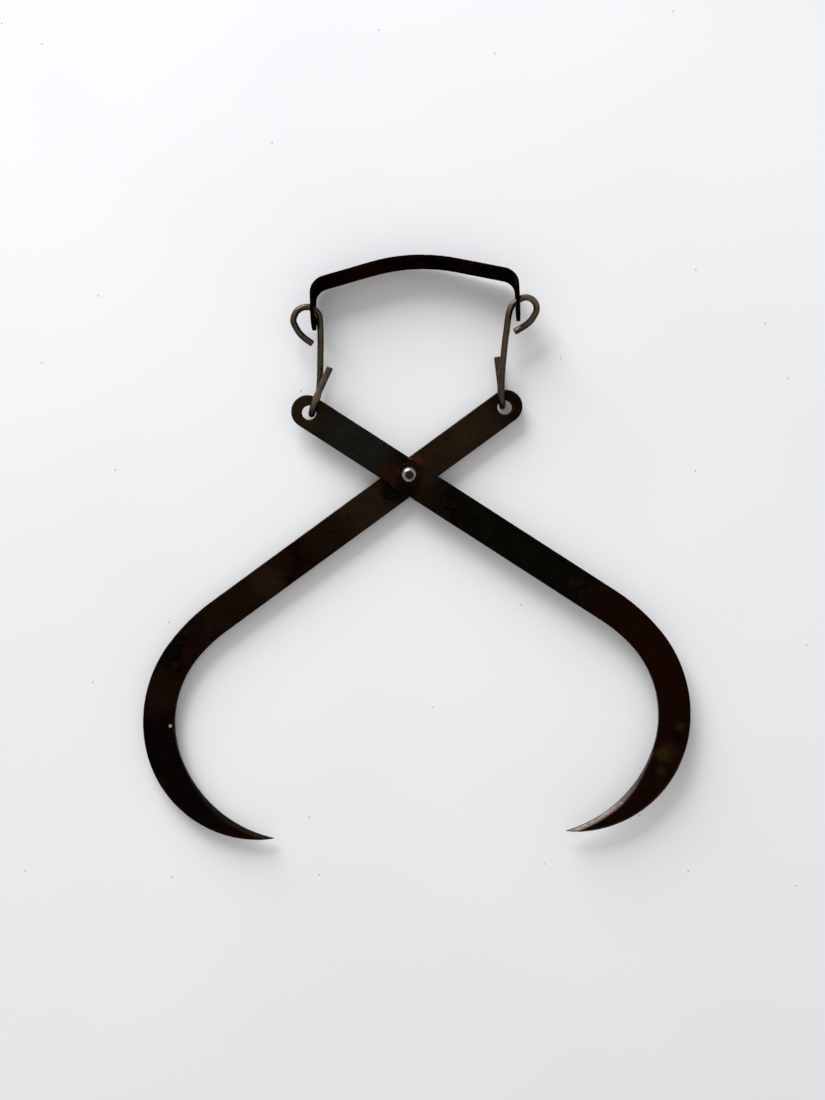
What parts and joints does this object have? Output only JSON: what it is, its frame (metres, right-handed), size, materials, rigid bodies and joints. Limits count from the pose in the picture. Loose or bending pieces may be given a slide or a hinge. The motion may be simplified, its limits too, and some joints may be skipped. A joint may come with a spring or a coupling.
{
  "type": "ice tongs",
  "caption": "Ice tongs: two curved flat-bar arms crossed on a rivet, with ground points and a strap handle hung on bent-wire links.",
  "frame": {"origin": "on the pivot axis, at the flat rear head of the rivet, in the plane of the surface that the tongs lie on", "axes": "+Z along the pivot, from the rear arm to the front arm; +Y from the pivot to the handle; +X to the side that the front arm's jaw is on"},
  "size_m": [0.421, 0.4442, 0.0349],
  "materials": {
    "front_arm": "blackened flat bar with a blue-grey and brown patina, bare where ground",
    "rear_arm": "blackened flat bar with a brown, rusty patina",
    "rivet": "worn bright, with a duller flat top",
    "front_washer": "dark and rusty",
    "rear_washer": "dark and rusty",
    "handle": "blackened strap, smooth from handling",
    "left_wire": "browned wire with worn highlights",
    "right_wire": "browned wire with worn highlights"
  },
  "bodies": {
    "front_arm": {"front_arm": "front_arm", "pivot_rivet": "rivet", "front_washer": "front_washer", "rear_washer": "rear_washer"},
    "rear_arm": {"rear_arm": "rear_arm"},
    "left_link": {"left_link": "left_wire"},
    "handle": {"handle_strap": "handle"},
    "right_link": {"right_link": "right_wire"}
  },
  "joints": [
    {"name": "jaw_pivot", "type": "hinge", "parent": "front_arm", "child": "rear_arm", "pos_m": [0, 0, 0.0085], "axis": [0, 0, 1], "range_deg": [-9, 41]},
    {"name": "left_link_hinge", "type": "hinge", "parent": "front_arm", "child": "left_link", "pos_m": [-0.07336, 0.04856, 0.0135], "axis": [0, 0, 1], "range_deg": [-9.5, 39.5]},
    {"name": "handle_hinge", "type": "hinge", "parent": "left_link", "child": "handle", "pos_m": [-0.0748, 0.1204, 0.0165], "axis": [0, 0, 1], "range_deg": [-20, 5]},
    {"name": "right_link_hinge", "type": "hinge", "parent": "rear_arm", "child": "right_link", "pos_m": [0.07336, 0.05086, 0.00855], "axis": [0, 0, 1], "range_deg": [-39.5, 9.5]}
  ],
  "couplings": [
    {"joint": "left_link_hinge", "follows": "jaw_pivot", "ratio": 0.9268},
    {"joint": "handle_hinge", "follows": "jaw_pivot", "ratio": -0.4684},
    {"joint": "right_link_hinge", "follows": "jaw_pivot", "ratio": -0.9294}
  ]
}
